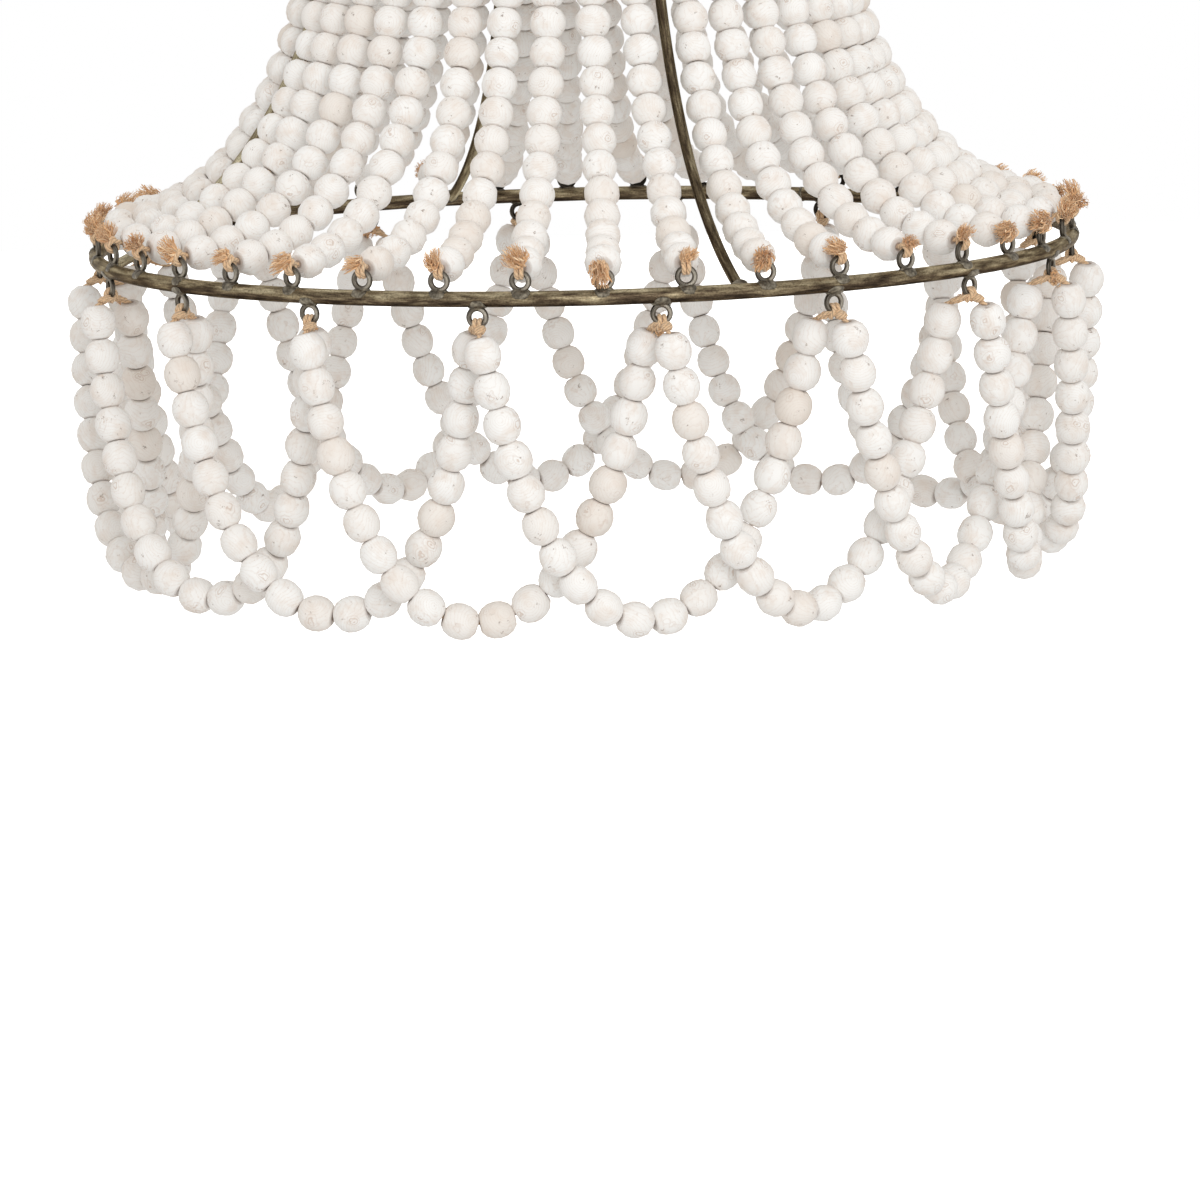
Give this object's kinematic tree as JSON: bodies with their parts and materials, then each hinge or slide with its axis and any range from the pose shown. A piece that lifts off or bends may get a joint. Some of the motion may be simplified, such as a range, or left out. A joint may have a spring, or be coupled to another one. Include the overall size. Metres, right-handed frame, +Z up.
{
  "type": "beaded chandelier",
  "caption": "Bell-shaped chandelier of whitewashed wooden beads on a bronze frame, with a curtain of overlapping bead swags, hung on a short chain from a ceiling canopy.",
  "frame": {"origin": "middle of the ceiling bracket's top face, in the plane of the ceiling", "axes": "+Z up out of the bracket's top face; -Y towards the viewer of the picture; +X to the right"},
  "size_m": [0.5676, 0.5592, 0.5963],
  "materials": {
    "antique_bronze": "antique bronze, worn to olive gold on the edges",
    "whitewashed_wood": "matt whitewash on turned beads, natural jute twine",
    "porcelain": "glazed white",
    "frosted_glass": "frosted"
  },
  "bodies": {
    "ceiling": {"ceiling_bracket": "antique_bronze", "canopy": "antique_bronze", "canopy_loop": "antique_bronze"},
    "link_1": {"link_1": "antique_bronze"},
    "link_2": {"link_2": "antique_bronze"},
    "link_3": {"link_3": "antique_bronze"},
    "fixture": {"top_loop": "antique_bronze", "stem": "antique_bronze", "crown_hub": "antique_bronze", "crown_ring": "antique_bronze", "lower_ring": "antique_bronze", "rib_1": "antique_bronze", "rib_2": "antique_bronze", "rib_3": "antique_bronze", "rib_4": "antique_bronze", "lampholder_1": "porcelain", "lampholder_2": "porcelain", "lampholder_3": "porcelain", "bulb_1": "frosted_glass", "bulb_2": "frosted_glass", "bulb_3": "frosted_glass", "strand_pair_1": "whitewashed_wood", "strand_pair_2": "whitewashed_wood", "strand_pair_3": "whitewashed_wood", "strand_pair_4": "whitewashed_wood", "strand_pair_5": "whitewashed_wood", "strand_pair_6": "whitewashed_wood", "strand_pair_7": "whitewashed_wood", "strand_pair_8": "whitewashed_wood", "strand_pair_9": "whitewashed_wood", "strand_pair_10": "whitewashed_wood", "strand_pair_11": "whitewashed_wood", "strand_pair_12": "whitewashed_wood", "strand_pair_13": "whitewashed_wood", "strand_pair_14": "whitewashed_wood", "strand_pair_15": "whitewashed_wood", "strand_pair_16": "whitewashed_wood", "strand_pair_17": "whitewashed_wood", "strand_pair_18": "whitewashed_wood", "strand_pair_19": "whitewashed_wood", "strand_pair_20": "whitewashed_wood"},
    "swag_1_body": {"swag_1": "whitewashed_wood"},
    "swag_2_body": {"swag_2": "whitewashed_wood"},
    "swag_3_body": {"swag_3": "whitewashed_wood"},
    "swag_4_body": {"swag_4": "whitewashed_wood"},
    "swag_5_body": {"swag_5": "whitewashed_wood"},
    "swag_6_body": {"swag_6": "whitewashed_wood"},
    "swag_7_body": {"swag_7": "whitewashed_wood"},
    "swag_8_body": {"swag_8": "whitewashed_wood"},
    "swag_9_body": {"swag_9": "whitewashed_wood"},
    "swag_10_body": {"swag_10": "whitewashed_wood"},
    "swag_11_body": {"swag_11": "whitewashed_wood"},
    "swag_12_body": {"swag_12": "whitewashed_wood"},
    "swag_13_body": {"swag_13": "whitewashed_wood"},
    "swag_14_body": {"swag_14": "whitewashed_wood"},
    "swag_15_body": {"swag_15": "whitewashed_wood"},
    "swag_16_body": {"swag_16": "whitewashed_wood"},
    "swag_17_body": {"swag_17": "whitewashed_wood"},
    "swag_18_body": {"swag_18": "whitewashed_wood"}
  },
  "joints": [
    {"name": "link_1_swing", "type": "hinge", "parent": "ceiling", "child": "link_1", "pos_m": [0, 0, -0.0603], "axis": [1, 0, 0], "range_deg": [-20, 20]},
    {"name": "link_2_swing", "type": "hinge", "parent": "link_1", "child": "link_2", "pos_m": [0, 0, -0.0836], "axis": [0, 1, 0], "range_deg": [-20, 20]},
    {"name": "link_3_swing", "type": "hinge", "parent": "link_2", "child": "link_3", "pos_m": [0, 0, -0.1071], "axis": [1, 0, 0], "range_deg": [-20, 20]},
    {"name": "fixture_swing", "type": "hinge", "parent": "link_3", "child": "fixture", "pos_m": [0, 0, -0.1306], "axis": [0, 1, 0], "range_deg": [-20, 20]},
    {"name": "swag_1_swing", "type": "hinge", "parent": "fixture", "child": "swag_1_body", "pos_m": [0.03552, -0.24647, -0.4352], "axis": [-0.9898, -0.1426, 0], "range_deg": [-8, 14]},
    {"name": "swag_2_swing", "type": "hinge", "parent": "fixture", "child": "swag_2_body", "pos_m": [0.11767, -0.21946, -0.4352], "axis": [-0.8813, -0.4726, 0], "range_deg": [-8, 14]},
    {"name": "swag_3_swing", "type": "hinge", "parent": "fixture", "child": "swag_3_body", "pos_m": [0.18564, -0.16598, -0.4352], "axis": [-0.6665, -0.7455, 0], "range_deg": [-8, 14]},
    {"name": "swag_4_swing", "type": "hinge", "parent": "fixture", "child": "swag_4_body", "pos_m": [0.23121, -0.09248, -0.4352], "axis": [-0.3714, -0.9285, 0], "range_deg": [-8, 14]},
    {"name": "swag_5_swing", "type": "hinge", "parent": "fixture", "child": "swag_5_body", "pos_m": [0.2489, -0.00782, -0.4352], "axis": [-0.0314, -0.9995, 0], "range_deg": [-8, 14]},
    {"name": "swag_6_swing", "type": "hinge", "parent": "fixture", "child": "swag_6_body", "pos_m": [0.23656, 0.07778, -0.4352], "axis": [0.3123, -0.95, 0], "range_deg": [-8, 14]},
    {"name": "swag_7_swing", "type": "hinge", "parent": "fixture", "child": "swag_7_body", "pos_m": [0.19569, 0.15399, -0.4352], "axis": [0.6184, -0.7859, 0], "range_deg": [-8, 14]},
    {"name": "swag_8_swing", "type": "hinge", "parent": "fixture", "child": "swag_8_body", "pos_m": [0.13122, 0.21164, -0.4352], "axis": [0.8499, -0.527, 0], "range_deg": [-8, 14]},
    {"name": "swag_9_swing", "type": "hinge", "parent": "fixture", "child": "swag_9_body", "pos_m": [0.05092, 0.24376, -0.4352], "axis": [0.9789, -0.2045, 0], "range_deg": [-8, 14]},
    {"name": "swag_10_swing", "type": "hinge", "parent": "fixture", "child": "swag_10_body", "pos_m": [-0.03552, 0.24647, -0.4352], "axis": [0.9898, 0.1426, 0], "range_deg": [-8, 14]},
    {"name": "swag_11_swing", "type": "hinge", "parent": "fixture", "child": "swag_11_body", "pos_m": [-0.11767, 0.21946, -0.4352], "axis": [0.8813, 0.4726, 0], "range_deg": [-8, 14]},
    {"name": "swag_12_swing", "type": "hinge", "parent": "fixture", "child": "swag_12_body", "pos_m": [-0.18564, 0.16598, -0.4352], "axis": [0.6665, 0.7455, 0], "range_deg": [-8, 14]},
    {"name": "swag_13_swing", "type": "hinge", "parent": "fixture", "child": "swag_13_body", "pos_m": [-0.23121, 0.09248, -0.4352], "axis": [0.3714, 0.9285, 0], "range_deg": [-8, 14]},
    {"name": "swag_14_swing", "type": "hinge", "parent": "fixture", "child": "swag_14_body", "pos_m": [-0.2489, 0.00782, -0.4352], "axis": [0.0314, 0.9995, 0], "range_deg": [-8, 14]},
    {"name": "swag_15_swing", "type": "hinge", "parent": "fixture", "child": "swag_15_body", "pos_m": [-0.23656, -0.07778, -0.4352], "axis": [-0.3123, 0.95, 0], "range_deg": [-8, 14]},
    {"name": "swag_16_swing", "type": "hinge", "parent": "fixture", "child": "swag_16_body", "pos_m": [-0.19569, -0.15399, -0.4352], "axis": [-0.6184, 0.7859, 0], "range_deg": [-8, 14]},
    {"name": "swag_17_swing", "type": "hinge", "parent": "fixture", "child": "swag_17_body", "pos_m": [-0.13122, -0.21164, -0.4352], "axis": [-0.8499, 0.527, 0], "range_deg": [-8, 14]},
    {"name": "swag_18_swing", "type": "hinge", "parent": "fixture", "child": "swag_18_body", "pos_m": [-0.05092, -0.24376, -0.4352], "axis": [-0.9789, 0.2045, 0], "range_deg": [-8, 14]}
  ],
  "couplings": [
    {"joint": "swag_2_swing", "follows": "swag_1_swing", "ratio": 1},
    {"joint": "swag_3_swing", "follows": "swag_1_swing", "ratio": 1},
    {"joint": "swag_4_swing", "follows": "swag_1_swing", "ratio": 1},
    {"joint": "swag_5_swing", "follows": "swag_1_swing", "ratio": 1},
    {"joint": "swag_6_swing", "follows": "swag_1_swing", "ratio": 1},
    {"joint": "swag_7_swing", "follows": "swag_1_swing", "ratio": 1},
    {"joint": "swag_8_swing", "follows": "swag_1_swing", "ratio": 1},
    {"joint": "swag_9_swing", "follows": "swag_1_swing", "ratio": 1},
    {"joint": "swag_10_swing", "follows": "swag_1_swing", "ratio": 1},
    {"joint": "swag_11_swing", "follows": "swag_1_swing", "ratio": 1},
    {"joint": "swag_12_swing", "follows": "swag_1_swing", "ratio": 1},
    {"joint": "swag_13_swing", "follows": "swag_1_swing", "ratio": 1},
    {"joint": "swag_14_swing", "follows": "swag_1_swing", "ratio": 1},
    {"joint": "swag_15_swing", "follows": "swag_1_swing", "ratio": 1},
    {"joint": "swag_16_swing", "follows": "swag_1_swing", "ratio": 1},
    {"joint": "swag_17_swing", "follows": "swag_1_swing", "ratio": 1},
    {"joint": "swag_18_swing", "follows": "swag_1_swing", "ratio": 1}
  ]
}
